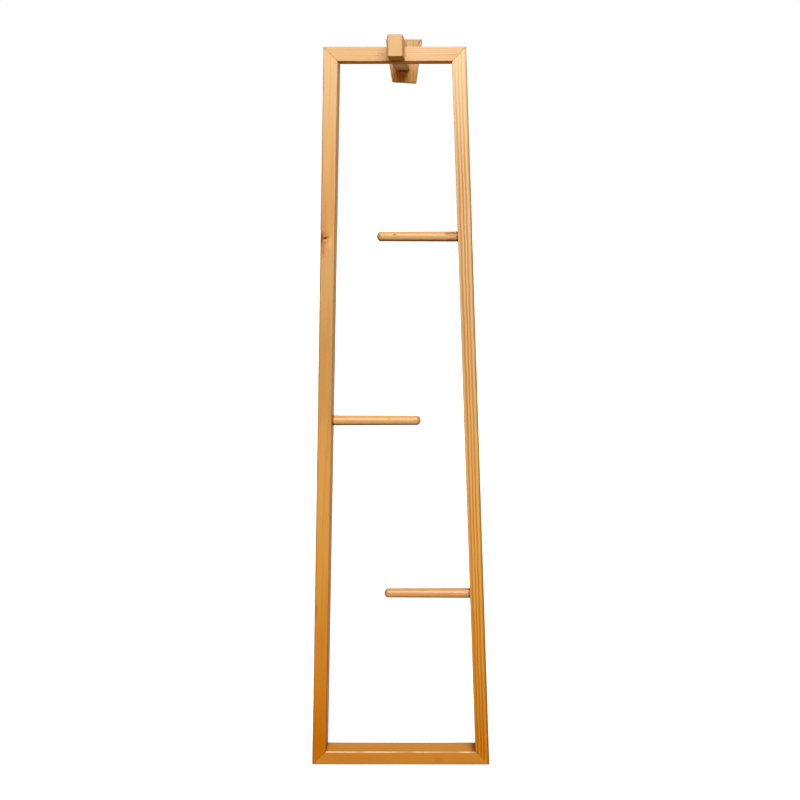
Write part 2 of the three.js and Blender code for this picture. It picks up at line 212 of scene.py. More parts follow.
class Pine(Bench):  # the material of one piece
    def __init__(self, name, cut):
        self.material = newMaterial(name)
        super().__init__(self.material.node_tree)
        cut = {**plainPine, **cut}
        position = self.add("ShaderNodeTexCoord", output="Object")
        block = self.add("ShaderNodeMapping", {"vector_type": "TEXTURE"}, {
            "Vector": position, "Location": cut["start"], "Rotation": cut["turn"].to_euler(),
        })
        self.across, self.deep, self.along = self.split(block)
        self.height = self.split(position)[2]
        self.toFront = self.deep * -1
        self.groove = self.bare = 0.0
        self.growRings(cut)
        self.stainAndHeightLight(cut)
        if cut["marks"]:
            self.drawMarks(cut)
        self.edgeFinishAndPaintedLight(cut["arrises"], *cut["section"])
        self.paintFaces(cut)
        self.drawJoints(cut)
        self.polish(cut)

    def texture(self, name, long=None):
        wide, usual, shift, detail = textures[name]
        place = self.vector(self.across * wide, self.deep * wide, self.along * (long or usual) + shift)
        return self.noise(place, detail=detail)

    def near(self, value, start, full):  # 1 where the value is about 0
        return self.smooth(self.sum("ABSOLUTE", value), start, full)

    def darken(self, amount, tint):
        full = self.tint(1.0, self.colour, (*tint, 1), "MULTIPLY")
        self.colour = self.tint(amount, self.colour, full)

    def growRings(self, cut):  # round a pith that wanders a little; a knot pushes them aside
        pithX = cut["pith"][0] + (self.texture("wander") - 0.5) * cut["wander"]
        ripple = (self.texture("drift", cut.get("waves")) - 0.5) * cut["ripple"]
        radius = self.length(self.across - pithX, self.deep - cut["pith"][1]) + ripple
        for knot in cut["knots"]:
            x, z = knot["at"]
            gap = self.length(self.across - x, (self.along - z) / years["knotStretch"])
            radius = radius + self.sum("EXPONENT", gap * (-1 / knot["reach"])) * knot["push"]
        turns = radius / cut["ringWidth"]
        wait = self.noise(self.vector(turns * years["scale"], years["plane"], 0.0), detail=0.0)
        turns = turns + wait * cut["uneven"]
        year = self.sum("FLOOR", turns)
        stops = [(place, (grey, grey, grey, 1)) for place, grey in cut["ring"]]
        ring = self.add("ShaderNodeValToRGB", {"stops": stops}, {0: turns - year})
        luck = self.add("ShaderNodeTexWhiteNoise", {"noise_dimensions": "1D"}, {"W": year})
        self.late = ring * (1 - cut["luck"] + luck * cut["luck"])

    def stainAndHeightLight(self, cut):  # colour by height, mostly painted light from above, then rings, streaks, fibres, resin flecks and broad clouds
        self.fibre, self.strand, self.cloud = (self.texture(name) for name in ("fibre", "strand", "cloud"))
        self.fleck = self.smooth(self.texture("dash"), *woodToneAndTopLight["fleckSpan"])
        # the tones by height paint light falling from above: paler at the top, deeper orange at the foot
        places = (height / woodToneAndTopLight["tallest"] for height in woodToneAndTopLight["heights"])
        stops = sorted(zip(places, woodToneAndTopLight["tones"]))
        base = self.add("ShaderNodeValToRGB", {"stops": stops}, {0: self.height / woodToneAndTopLight["tallest"]})
        self.colour = self.tint(1.0, base, (*cut["cast"], 1), "MULTIPLY")
        depth = cut["ringDepth"] - self.smooth(self.height, *woodToneAndTopLight["fadeSpan"]) * cut["fadeTop"]
        self.darken(self.late * depth, cut["lateWood"])
        streak = self.smooth(self.strand, *woodToneAndTopLight["streakSpan"]) * cut["streaks"]
        self.darken(streak, woodToneAndTopLight["streakTint"])
        fibres = (self.fibre - 0.5) * woodToneAndTopLight["fibreDepth"] + woodToneAndTopLight["fibreBase"]
        self.darken(fibres, woodToneAndTopLight["streakTint"])
        self.darken(self.fleck * woodToneAndTopLight["fleckDepth"], woodToneAndTopLight["fleckTint"])
        self.darken(self.smooth(self.cloud, *woodToneAndTopLight["blushSpan"]) * cut["clouds"], woodToneAndTopLight["blushTint"])

    def drawMarks(self, cut):  # each full in its middle, with a ragged rim
        place = self.vector(self.across * rim["across"], rim["plane"], self.along * rim["along"])
        ragged = (self.noise(place, detail=rim["detail"]) - 0.5) * rim["depth"]
        nearFront = self.smooth(self.toFront, *cut["skin"])
        for mark in cut["marks"]:
            cosine, sine = math.cos(math.radians(mark.tilt)), math.sin(math.radians(mark.tilt))
            x, z = self.across - mark.at[0], self.along - mark.at[1]
            long, short = (x * cosine + z * sine) / mark.size[0], (z * cosine - x * sine) / mark.size[1]
            amount = self.smooth(self.length(long, short) + ragged, rim["reach"], mark.core)
            self.darken(amount * mark.strength * nearFront, mark.tint)

    def edgeFinishAndPaintedLight(self, arrises, halfWidth, halfDepth):  # darker all round where the finish gathers; chosen front edges get painted shade, or a painted highlight where paint is set
        patch = self.texture("patch")
        nearX = self.near(self.across, halfWidth - edges["reach"], halfWidth)
        self.edge = nearX * self.near(self.deep, halfDepth - edges["reach"], halfDepth)
        gathered = edges["base"] + (1 - edges["base"]) * self.smooth(patch, *edges["span"])
        self.darken(self.edge * gathered * edges["strength"], edges["tint"])
        # painted shade or a painted highlight on each chosen front edge, in patches
        for side, strength, tint, reach, paint in arrises:
            nearX = self.smooth(self.across * side, halfWidth - reach, halfWidth - reach * edges["fullX"])
            nearY = self.smooth(self.toFront, halfDepth - reach, halfDepth - reach * edges["fullY"])
            broken = edges["arrisPatchBase"] + self.smooth(patch, *edges["arrisPatchSpan"])
            amount = self.clamp(nearX * nearY * broken) * strength
            if paint:
                self.colour = self.tint(amount, self.colour, tint)
            else:
                self.darken(amount, tint)

    def paintFaces(self, cut):  # whole faces with painted shade or painted light, by the way they face; a bare one has no coat
        ways = {"across": self.across, "deep": self.deep, "down": cut["start"][2] - self.height}
        for face in cut["faces"]:
            amount = self.smooth(ways[face.way], *face.span)
            if face.along:
                amount = amount * self.smooth(self.along, *face.along)
            self.darken(amount, face.tint)
            if face.bare:
                self.bare = self.bare + amount

    def drawJoints(self, cut):
        for start, slope, strength in cut["seams"]:
            plane = self.along - start - (self.across + cut["section"][0]) * slope
            breaks = self.smooth(self.texture("breaks"), *joints["breakSpan"])
            broken = joints["breakBase"] + joints["breakDepth"] * breaks
            line = self.near(plane, joints["seamReach"], joints["core"]) * broken * strength
            self.darken(line, joints["tint"])
            self.groove = self.groove + line
        # painted shade in the gap round each peg, on the stile
        for place, radius in cut["bores"]:
            radial = self.length(self.deep, self.along - place) - radius
            line = self.near(radial, joints["boreReach"], joints["core"])
            line = line * self.smooth(self.across, *joints["boreSpan"])
            self.darken(line * joints["boreDepth"], joints["tint"])
            self.groove = self.groove + line
        for band in cut["bands"]:  # a ring round a peg or the arm, by distance along it
            amount = self.smooth(self.along, band.start - joints["bandFade"], band.start)
            amount = amount * self.smooth(self.along, band.end + band.fade, band.end) * band.strength
            self.darken(amount, band.tint)

    def polish(self, cut):
        height = self.late * relief["late"] + self.fibre * relief["fibre"] + self.strand * relief["strand"]
        height = height + self.fleck * relief["fleck"] + self.groove * relief["groove"]
        rough = cut["roughness"] + (self.cloud - 0.5) * gloss["cloud"] + (1 - self.late) * gloss["early"]
        rough = rough + self.fibre * gloss["fibre"] + self.edge * gloss["edge"]
        self.finish({
            "Base Color": self.colour, "Roughness": rough, "Specular IOR Level": cut["shine"],
            "Normal": self.bump(cut["relief"], cut["reliefDepth"], height),
            "Coat Weight": cut["coat"] * (1 - self.bare),
            "Coat Roughness": cut["coatRoughness"],
        })


# Finishing shared by all the pieces

finishing = {"easeAngle": 40, "easeSteps": 2, "crease": 32}


def newThing(name, data=None):
    thing = bpy.data.objects.new(name, data or bpy.data.meshes.new(name))
    bpy.context.scene.collection.objects.link(thing)
    return thing


def intoMesh(thing):  # what the modifiers give, as a plain mesh at the origin
    graph = bpy.context.evaluated_depsgraph_get()
    mesh = bpy.data.meshes.new_from_object(thing.evaluated_get(graph), depsgraph=graph)
    thing.modifiers.clear()
    old = thing.data
    thing.data = mesh
    bpy.data.meshes.remove(old)
    mesh.name = thing.name
    return thing


def skin(name, *bodies):  # closed bodies, each through rings of equal count and capped at both ends
    shape = bmesh.new()
    for rings in bodies:
        rows = [[shape.verts.new(point) for point in ring] for ring in rings]
        for low, high in zip(rows, rows[1:]):
            for index in range(len(low)):
                after = (index + 1) % len(low)
                shape.faces.new((low[index], low[after], high[after], high[index]))
        shape.faces.new(list(reversed(rows[0])))
        shape.faces.new(rows[-1])
    bmesh.ops.recalc_face_normals(shape, faces=shape.faces)
    thing = newThing(name)
    shape.to_mesh(thing.data)
    shape.free()
    return thing


def subtract(thing, *bodies):
    cutter = skin("cutter", *bodies)
    cut = thing.modifiers.new("cut", "BOOLEAN")
    cut.operation = "DIFFERENCE"
    cut.solver = "EXACT"
    cut.object = cutter
    intoMesh(thing)
    bpy.data.objects.remove(cutter)


def roundBar(start, way, stations, sides=48):  # rings round an axis, from pairs of distance and radius
    way = Vector(way).normalized()
    first = way.orthogonal().normalized()
    second = way.cross(first)
    angles = [step / sides * math.tau for step in range(sides)]
    return [[Vector(start) + way * distance + (first * math.cos(angle) + second * math.sin(angle)) * radius
             for angle in angles] for distance, radius in stations]


def drill(start, way, near, far, radius, sides=48):
    return roundBar(start, way, [(near, radius), (far, radius)], sides)


def roundedRing(left, right, low, high, lowRadius, highRadius, steps):  # an outline, as pairs of x and z
    points = []
    for corner in range(4):
        x, signX = (right, 1) if corner in (0, 3) else (left, -1)
        z, signZ, radius = (high, 1, highRadius) if corner in (0, 1) else (low, -1, lowRadius)
        for step in range(steps + 1):
            angle = (corner + step / steps) * quarter
            points.append((x - signX * radius + radius * math.cos(angle),
                           z - signZ * radius + radius * math.sin(angle)))
    return points


def standing(*outlines):  # rings from pairs of depth and outline
    return [[(x, depth, z) for x, z in outline] for depth, outline in outlines]


def easeAndShade(thing, ease=0, crease=finishing["crease"]):
    if ease:
        bevel = thing.modifiers.new("eased", "BEVEL")
        bevel.limit_method = "ANGLE"
        bevel.angle_limit = math.radians(finishing["easeAngle"])
        bevel.width = ease
        bevel.segments = finishing["easeSteps"]
        intoMesh(thing)
    thing.data.shade_smooth()
    thing.data.set_sharp_from_angle(angle=math.radians(crease))
    weighted = thing.modifiers.new("normals", "WEIGHTED_NORMAL")
    weighted.keep_sharp = True
    return intoMesh(thing)


def dress(thing, material, body, node):
    thing.data.materials.clear()
    thing.data.materials.append(material)
    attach(thing, body)
    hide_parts(node)


def newTree(name, lengths, counts):  # each input has the name of the value that it takes
    tree = bpy.data.node_groups.new(name, "GeometryNodeTree")
    tree.interface.new_socket("shape", in_out="OUTPUT", socket_type="NodeSocketGeometry")
    labels = [(label, "Float") for label in lengths.split()] + [(label, "Int") for label in counts.split()]
    for label, kind in [*labels, ("finish", "Material")]:
        tree.interface.new_socket(label, in_out="INPUT", socket_type="NodeSocket" + kind)
    bench = Bench(tree)
    entry = bench.add("NodeGroupInput", output=None)
    given = {socket.name: Wire(bench, socket) for socket in entry.outputs if socket.name}
    return bench, SimpleNamespace(**given)


def roundStock(bench, around, steps):  # a cylinder of radius 1 and length 1, and where its points are
    stock = bench.add("GeometryNodeMeshCylinder", {"fill_type": "NGON"}, {
        "Vertices": around, "Side Segments": steps, "Radius": 1.0, "Depth": 1.0,
    })
    return stock, *bench.split(bench.add("GeometryNodeInputPosition"))


def reshape(bench, shape, x, y, z):
    place = bench.vector(x, y, z)
    return bench.add("GeometryNodeSetPosition", inputs={"Geometry": shape, "Position": place})


def endTree(bench, shape, given):
    real = bench.add("GeometryNodeRealizeInstances", inputs={0: shape})
    done = bench.add("GeometryNodeSetMaterial", inputs={"Geometry": real, "Material": given.finish})
    bench.add("NodeGroupOutput", inputs={0: done}, output=None)
    return bench.tree


def runTree(name, tree, values, material, placed):
    thing = newThing(name)
    modifier = thing.modifiers.new("shape", "NODES")
    modifier.node_group = tree
    values = {**values, "finish": material}
    for item in tree.interface.items_tree:
        if item.in_out == "INPUT":
            modifier[item.identifier] = values[item.name]
    intoMesh(thing).data.transform(placed)
    return thing


# Frame: four rounded members, mitred where they meet

rack = {
    "height": 1.75,
    "bottomWidth": 0.444,  # across the outer corners
    "topWidth": 0.328,
    "face": 0.034,  # width of a member, seen from the front
    "depth": 0.056,
    "rounding": 0.0026,
    "ringPoints": 9,  # round each long edge
    "steps": 24,
    "mitreGap": 0.00008, "mitreEase": 0.0003,
    "topSeam": 0.45, "footSeam": 0.22,  # how dark the glue line of a mitre is
    "inside": (0.0148, 0.0164),  # where the face towards the rack's middle starts, across a member
}

dowel = {
    "diameter": 0.008, "length": 0.027, "spacing": 0.027, "chamfer": 0.0009, "flutes": 14,
    "fluteDepth": 0.00035, "sides": 112, "steps": 54, "bore": 0.0043, "boreHalf": 0.0145, "crease": 50,
}

pegShape = {
    "root": 0.0123, "tip": 0.0115, "nose": 0.01, "inBore": 0.0224, "bore": 0.0126, "boreDepth": 0.023,
    "clear": 0.03, "sides": 64, "steps": 40, "weld": 0.00001, "outside": (0.03, 0.03), "noseStain": 0.0075,
}

pegs = {  # a mark's distance is taken from the stile
    "upper_peg": {
        "side": 1, "height": 1.315, "reach": 0.192, "pith": (0.002, 0.03), "ringWidth": 0.0036,
        "ringDepth": 0.6, "cast": (0.95, 0.95, 0.9), "coat": 0.65,
        "marks": [
            Mark((0.0065, 0.018), (0.005, 0.018), (0.66, 0.4, 0.26), core=0.6),
            Mark((-0.006, 0.016), (0.003, 0.014), (0.7, 0.46, 0.28), 0.8, core=0.5),
            Mark((0.0045, 0.15), (0.0022, 0.006), (0.42, 0.26, 0.12), 0.9, core=0.5),
            Mark((-0.005, 0.088), (0.0012, 0.006), (0.7, 0.52, 0.36), 0.5),
        ],
    },
    "middle_peg": {
        "side": -1, "height": 0.872, "reach": 0.213, "pith": (-0.004, 0.024), "ringWidth": 0.003,
        "ringDepth": 0.5, "cast": (1.03, 1.1, 1.35), "coat": 0.65,
        "marks": [Mark((0.0, 0.04), (0.003, 0.02), (0.8, 0.62, 0.46), 0.4)],
    },
    "lower_peg": {
        "side": 1, "height": 0.438, "reach": 0.212, "pith": (0.005, 0.028), "ringWidth": 0.0034,
        "ringDepth": 0.55, "cast": (1.02, 1.06, 1.9), "coat": 0.95,
        "marks": [Mark((0.002, 0.06), (0.003, 0.024), (0.78, 0.6, 0.46), 0.4)],
    },
}

lean = math.atan((rack["bottomWidth"] - rack["topWidth"]) / 2 / rack["height"])
backward = Vector((0, 1, 0))

halfFoot, halfTop = rack["bottomWidth"] / 2, rack["topWidth"] / 2
corners = {
    "bottom_left": Vector((-halfFoot, 0, 0)), "top_left": Vector((-halfTop, 0, rack["height"])),
    "top_right": Vector((halfTop, 0, rack["height"])), "bottom_right": Vector((halfFoot, 0, 0)),
}
cornerNames = list(corners)


def mitre(corner):  # its rise across a member's face, and how dark its glue line is
    angle = quarter + (lean if corner.z else -lean)
    return 1 / math.tan(angle / 2), rack["topSeam" if corner.z else "footSeam"]


def memberTree():
    def outline(size, wave):  # rounded by the same length at both of its ends
        side = bench.sum("SIGN", bench.sum(wave, middle)) * (size / 2 - given.rounding)
        return side + given.rounding * bench.sum(wave, angle)

    bench, given = newTree(
        "mitredMember", "length face depth rounding startSlope endSlope mitreGap", "ringPoints steps")
    around = given.ringPoints * 4
    bar, x, y, z = roundStock(bench, around, given.steps)
    turn = bench.sum("ARCTAN2", y, x) / math.tau
    place = bench.sum("ROUND", (turn - bench.sum("FLOOR", turn)) * around)
    place = bench.sum("MODULO", place, around)
    corner = bench.sum("FLOOR", place / given.ringPoints)
    angle = (corner + (place - corner * given.ringPoints) / (given.ringPoints - 1)) * quarter
    middle = (corner + 0.5) * quarter
    newX, newY = outline(given.face, "COSINE"), outline(given.depth, "SINE")
    inward = newX + given.face / 2
    low = given.mitreGap + given.startSlope * inward
    high = given.length - given.mitreGap - given.endSlope * inward
    return endTree(bench, reshape(bench, bar, newX, newY, low + (high - low) * (z + 0.5)), given)


def direction(index):  # of the member that starts at a corner
    names = cornerNames[index], cornerNames[(index + 1) % 4]
    return (corners[names[1]] - corners[names[0]]).normalized()


def dowelPlaces(index):  # a corner's two dowels, each square to its mitre
    normal = (direction(index - 1) + direction(index)).normalized()
    across = backward.cross(normal)
    middle = corners[cornerNames[index]] + across * rack["face"] / normal.dot(direction(index)) / 2
    return {
        cornerNames[index] + "_dowel_" + name: (middle + backward * side * dowel["spacing"] / 2, normal)
        for name, side in (("front", -1), ("back", 1))
    }


def pegPlace(peg):  # where it leaves the stile, and the way it points
    inner = halfFoot - peg["height"] * math.tan(lean) - rack["face"] / math.cos(lean)
    return Vector((peg["side"] * inner, 0, peg["height"])), Vector((-peg["side"], 0, 0))


members = {  # a mark's place is given across the face, outwards negative, and along from the start
    "left_stile": {
        "slot": "stile_pine", "pith": (0.006, 0.16), "ringWidth": 0.0038, "ringDepth": 1.0,
        "wander": 0.012, "clouds": 0.9, "streaks": 0.9, "shine": 0.03,
        "knots": [{"at": (-0.006, 1.313), "reach": 0.009, "push": 0.007}],
        "marks": [
            Mark((-0.0052, 1.3138), (0.0095, 0.0044), (0.3, 0.13, 0.02), core=0.25, tilt=24),
            Mark((-0.015, 1.312), (0.006, 0.019), (0.56, 0.34, 0.18)),
            Mark((-0.01, 1.3145), (0.007, 0.015), (0.84, 0.66, 0.52), 0.7),
            Mark((0.0, 0.0), (0.2, 0.27), (1.02, 0.88, 0.1), core=0.1),
            Mark((0.0, 0.98), (0.2, 0.19), (0.87, 0.84, 0.74), 0.8, core=0.2),
            Mark((0.005, 1.304), (0.011, 0.018), (1.14, 1.19, 1.26)),
            Mark((-0.0105, 1.285), (0.006, 0.022), (0.84, 0.66, 0.48), 0.8),
            Mark((-0.007, 1.36), (0.008, 0.06), (0.97, 0.86, 0.76), 0.7),
            Mark((-0.0125, 0.4), (0.004, 0.03), (0.86, 0.52, 0.34), 0.8),
        ],
        # painted shade along the outer and inner front edges, and on the inner side face
        "arrises": [
            Arris(-1, 0.75, (0.7, 0.52, 0.34)),
            Arris(1, 0.4, (0.8, 0.62, 0.42), 0.003),
        ],
        "faces": [Face("across", rack["inside"], (0.9, 0.8, 0.66))],
    },
    "top_rail": {
        "slot": "rail_pine", "pith": (0.08, 0.03), "ringWidth": 0.0036, "cast": (0.97, 0.96, 0.96),
        "marks": [
            Mark((0.0005, 0.1352), (0.0026, 0.0036), (0.66, 0.46, 0.3), 0.85),
            Mark((-0.0012, 0.129), (0.0022, 0.0055), (0.8, 0.64, 0.5), 0.7),
            Mark((0.0032, 0.1275), (0.0016, 0.007), (0.84, 0.7, 0.56), 0.6),
            Mark((0.0105, 0.104), (0.003, 0.01), (0.84, 0.68, 0.52), 0.4),
            Mark((0.0, 0.25), (0.2, 0.11), (1.07, 1.13, 1.33), core=0.4),
            # painted shadow of the hook's block on the rail: a line at its left and a patch below it
            Mark((0.0, 0.1458), (0.03, 0.002), (0.62, 0.44, 0.24), 0.7, core=0.2),
            Mark((0.015, 0.165), (0.0042, 0.026), (0.62, 0.42, 0.22), 0.7, core=0.4),
        ],
        # painted shade on the front bottom edge and on the underside
        "arrises": [Arris(1, 0.8, (0.6, 0.42, 0.22), 0.0032)],
        "faces": [Face("across", rack["inside"], (0.98, 0.62, 0.28), bare=True)],
    },
    "right_stile": {
        "slot": "striped_stile_pine", "pith": (0.15, 0.012), "ringWidth": 0.0071, "ringDepth": 1.0,
        "wander": 0.005, "ring": broadRing,
        "lateWood": (0.36, 0.14, 0.03), "luck": 0.6, "fadeTop": 0.5, "ripple": 0.003, "waves": 14,
        "uneven": 1.9, "streaks": 0.8, "shine": 0.03, "cast": (1.18, 1.31, 1.5),
        # painted shade along the outer front edge
        "arrises": [Arris(-1, 0.8, (0.74, 0.58, 0.4))],
    },
    "bottom_rail": {
        "slot": "rail_pine", "pith": (-0.07, -0.05), "ringWidth": 0.0038, "ringDepth": 0.95, "wander": 0.01,
        "roughness": 0.44, "shine": 0.03, "cast": (1.15, 1.48, 5.2),
        "marks": [
            Mark((-0.004, 0.1285), (0.008, 0.016), (0.8, 0.66, 0.48), 0.45),
        ],
        # a painted highlight along the front top edge, painted shade along the front bottom edge
        "arrises": [
            Arris(1, 0.75, tone(240, 196, 146), 0.0032, paint=True),
            Arris(-1, 0.9, (0.66, 0.44, 0.3)),
        ],
        # painted light on the top face, and a painted shadow of the right stile on it next to that stile
        "faces": [
            Face("across", rack["inside"], (1.05, 1.16, 1.5)),
            Face("across", rack["inside"], (0.52, 0.34, 0.2), along=(0.052, 0.037)),
        ],
    },
}

barTree = memberTree()
for index, (name, member) in enumerate(members.items()):
    following = (index + 1) % 4
    start, end = corners[cornerNames[index]], corners[cornerNames[following]]
    along = direction(index)
    inward = backward.cross(along)
    origin = start + inward * rack["face"] / 2
    turn = Matrix((inward, backward, along)).transposed()
    length = (end - start).length
    (startSlope, startSeam), (endSlope, endSeam) = mitre(start), mitre(end)
    bores, rings = [], []
    for peg in pegs.values():
        root, way = pegPlace(peg)
        if name == ("right_stile" if peg["side"] > 0 else "left_stile"):
            rings.append(((root - origin).dot(along), pegShape["root"]))
            bores.append(drill(root, way, -pegShape["boreDepth"], pegShape["clear"], pegShape["bore"], 64))
    for place, normal in [*dowelPlaces(index).values(), *dowelPlaces(following).values()]:
        bores.append(drill(place, normal, -dowel["boreHalf"], dowel["boreHalf"], dowel["bore"]))
    material = Pine(name + "Pine", {
        "start": origin, "turn": turn, "section": (rack["face"] / 2, rack["depth"] / 2),
        "seams": [(0.0, startSlope, startSeam), (length, -endSlope, endSeam)],
        "bores": rings, **member,
    }).material
    values = {**rack, "length": length, "startSlope": startSlope, "endSlope": endSlope}
    placed = Matrix.Translation(origin) @ turn.to_4x4()
    thing = runTree(name + "_wood", barTree, values, material, placed)
    subtract(thing, *bores)
    easeAndShade(thing, rack["mitreEase"])
    dress(thing, material, "rack_frame", name)
print("frame members built and bored")


# Dowels: fluted beech, two across each mitre

beechLook = {
    "pale": tone(206, 170, 126), "dark": tone(178, 138, 94), "pore": tone(132, 92, 56),
    "coarseScale": 160, "poreScale": 1400, "poreSpan": (0.56, 0.7), "poreDepth": 0.5,
    "relief": 0.4, "distance": 0.0002, "roughness": 0.62, "roughRange": 0.15, "shine": 0.2,
}


def beech(name, look=beechLook):
    material = newMaterial(name)
    bench = Bench(material.node_tree)
    position = bench.add("ShaderNodeTexCoord", output="Object")
    coarse = bench.noise(position, scale=look["coarseScale"], detail=3.0)
    pores = bench.smooth(bench.noise(position, scale=look["poreScale"]), *look["poreSpan"])
    colour = bench.tint(coarse, look["pale"], look["dark"])
    colour = bench.tint(pores * look["poreDepth"], colour, look["pore"])
    bench.finish({
        "Base Color": colour, "Roughness": look["roughness"] + coarse * look["roughRange"],
        "Normal": bench.bump(look["relief"], look["distance"], coarse - pores),
        "Specular IOR Level": look["shine"],
    })
    return material


def dowelTree():
    bench, given = newTree("flutedDowel", "length diameter chamfer flutes fluteDepth", "sides steps")
    stock, x, y, z = roundStock(bench, given.sides, given.steps)
    wave = 0.5 - 0.5 * bench.sum("COSINE", bench.sum("ARCTAN2", y, x) * given.flutes)
    toEnd = (0.5 - bench.sum("ABSOLUTE", z)) * given.length
    radius = given.diameter / 2 - wave * given.fluteDepth
    radius = radius - bench.sum("MAXIMUM", given.chamfer - toEnd, 0.0)
    return endTree(bench, reshape(bench, stock, x * radius, y * radius, z * given.length), given)


def standAt(place, way):  # moves a thing there and turns its +Z that way
    return Matrix.Translation(place) @ Vector(way).to_track_quat("Z", "Y").to_matrix().to_4x4()


roundDowel, dowelWood = dowelTree(), beech("dowelBeech")
for index in range(4):
    for name, (place, normal) in dowelPlaces(index).items():
        thing = runTree(name + "_wood", roundDowel, dowel, dowelWood, standAt(place, normal))
        easeAndShade(thing, crease=dowel["crease"])
        dress(thing, dowelWood, "rack_frame", name)
print("dowels fluted")


# Pegs, turned with a slight taper

def pegTree():
    bench, given = newTree("turnedPeg", "reach inBore root tip nose", "sides steps")
    stock, x, y, z = roundStock(bench, given.sides, given.steps)
    share = z + 0.5
    straight = bench.clamp(share * 2)
    curved = bench.clamp(share * 2 - 1) * quarter
    shoulder = given.reach - given.nose
    height = straight * (shoulder + given.inBore) - given.inBore
    taper = bench.clamp(height / shoulder)
    radius = given.root + (given.tip - given.root) * taper
    radius = radius * bench.sum("COSINE", curved)
    height = height + given.nose * bench.sum("SINE", curved)
    placed = reshape(bench, stock, x * radius, y * radius, height)
    weld = {"Geometry": placed, "Distance": pegShape["weld"]}
    return endTree(bench, bench.add("GeometryNodeMergeByDistance", inputs=weld), given)


roundTree = pegTree()
for name, peg in pegs.items():
    root, way = pegPlace(peg)
    turn = Matrix.Rotation(-peg["side"] * quarter, 3, "Y")
    material = Pine(name + "Pine", {
        "start": root, "turn": turn, "section": pegShape["outside"], "wander": 0.004,
        "ripple": 0.0008, "streaks": 0.6, "roughness": 0.34, "coatRoughness": 0.1, "relief": 0.22,
        "skin": (0.0, 0.004),
        # painted shade on the underside
        "faces": [Face("down", (0.005, 0.0108), (0.5, 0.3, 0.12), bare=True)],
        # painted shade in the gap at the root, a painted highlight ring just beyond it, and darker end
        # grain at the nose
        "bands": [
            Band(-0.03, 0.003, 0.85, (0.42, 0.24, 0.12)),
            Band(0.0048, 0.0062, 0.6, (1.15, 1.2, 1.3)),
            Band(peg["reach"] - pegShape["noseStain"], 1.0, 0.85, (0.84, 0.56, 0.34)),
        ], **peg,
    }).material
    placed = Matrix.Translation(root) @ turn.to_4x4()
    thing = runTree(name + "_wood", roundTree, {**pegShape, **peg}, material, placed)
    easeAndShade(thing)
    dress(thing, material, "rack_frame", name)
print("pegs turned")


# Hook arm: rounded bar with a notch that drops over the top rail

arm = {
    "middleX": 0.005, "width": 0.036, "low": 1.7193, "high": 1.7683, "front": -0.109, "back": 0.2257,
    "topRounding": 0.004, "lowRounding": 0.0022,  # of the long edges
    "endRounding": 0.0045, "endLowRounding": 0.0014,  # round the front end
    "cornerSteps": 8, "endSteps": 8, "stations": (-0.06, -0.035, 0.035, 0.09, 0.16), "ease": 0.0006,
    "notchHalf": 0.0286, "notchTop": 1.7503, "notchSide": 0.03, "notchBelow": 0.01, "notchCorner": 0.0001,
    "underside": (0.0223, 0.0239),
}


def armRing(inset, lowInset):
    half = arm["width"] / 2
    return roundedRing(arm["middleX"] - half + inset, arm["middleX"] + half - inset, arm["low"] + lowInset,
                       arm["high"] - inset, arm["lowRounding"], arm["topRounding"], arm["cornerSteps"])


def buildArm():
    outlines = []
    for step in range(arm["endSteps"] + 1):
        angle = step / arm["endSteps"] * quarter
        short = 1 - math.sin(angle)
        depth = arm["front"] + arm["endRounding"] * (1 - math.cos(angle))
        outlines.append((depth, armRing(arm["endRounding"] * short, arm["endLowRounding"] * short)))
    for depth in (*arm["stations"], arm["back"]):
        outlines.append((depth, armRing(0, 0)))
    thing = skin("hook_arm_wood", standing(*outlines))
    side, corner = arm["notchSide"], arm["notchCorner"]
    notch = roundedRing(arm["middleX"] - side, arm["middleX"] + side, arm["low"] - arm["notchBelow"],
                        arm["notchTop"], corner, corner, 1)
    subtract(thing, standing((-arm["notchHalf"], notch), (arm["notchHalf"], notch)))
    return easeAndShade(thing, arm["ease"])


armMaterial = Pine("hookArmPine", {
    "start": Vector((arm["middleX"], 0, (arm["low"] + arm["high"]) / 2)),
    "turn": Matrix.Rotation(-quarter, 3, "X"),
    "section": (arm["width"] / 2, (arm["high"] - arm["low"]) / 2), "pith": (0.05, 0.055),
    "ringWidth": 0.0042, "ringDepth": 0.35, "wander": 0.006, "ripple": 0.001, "streaks": 0.35,
    "roughness": 0.48, "cast": (0.935, 0.945, 0.91), "clouds": 0.3,
    # a paler underside, painted light standing in for the reflection it catches, with painted shade at its
    # front end and towards the wall
    "faces": [
        Face("deep", arm["underside"], (1.1, 1.0, 0.96), bare=True),
        Face("deep", arm["underside"], (0.94, 0.6, 0.22), along=(0.04, 0.02)),
        Face("deep", arm["underside"], (0.78, 0.56, 0.3), along=(0.12, 0.22)),
    ],
    "bands": [  # painted shade in a rim round the front end's edges
        Band(arm["front"] + 0.0007, arm["front"] + 0.0055, 0.8, (0.7, 0.58, 0.46), fade=0.008),
    ],
}).material
dress(buildArm(), armMaterial, "wall_bracket", "hook_arm")
print("hook arm built")


# Wall plate: trapezium with its grain upright, recessed behind for the keyhole hanger

plate = {
    "middleX": 0.0085, "front": 0.226, "back": 0.246, "low": 1.6883, "high": 1.7953, "lowWidth": 0.06,
    "highWidth": 0.091, "footSkew": 0.0035, "frontRounding": 0.002, "frontSteps": 5,
    "sideRounding": 0.0012, "sideSteps": 3, "ease": 0.0004,
    "past": 0.001,  # how far cutters reach out of the back
}

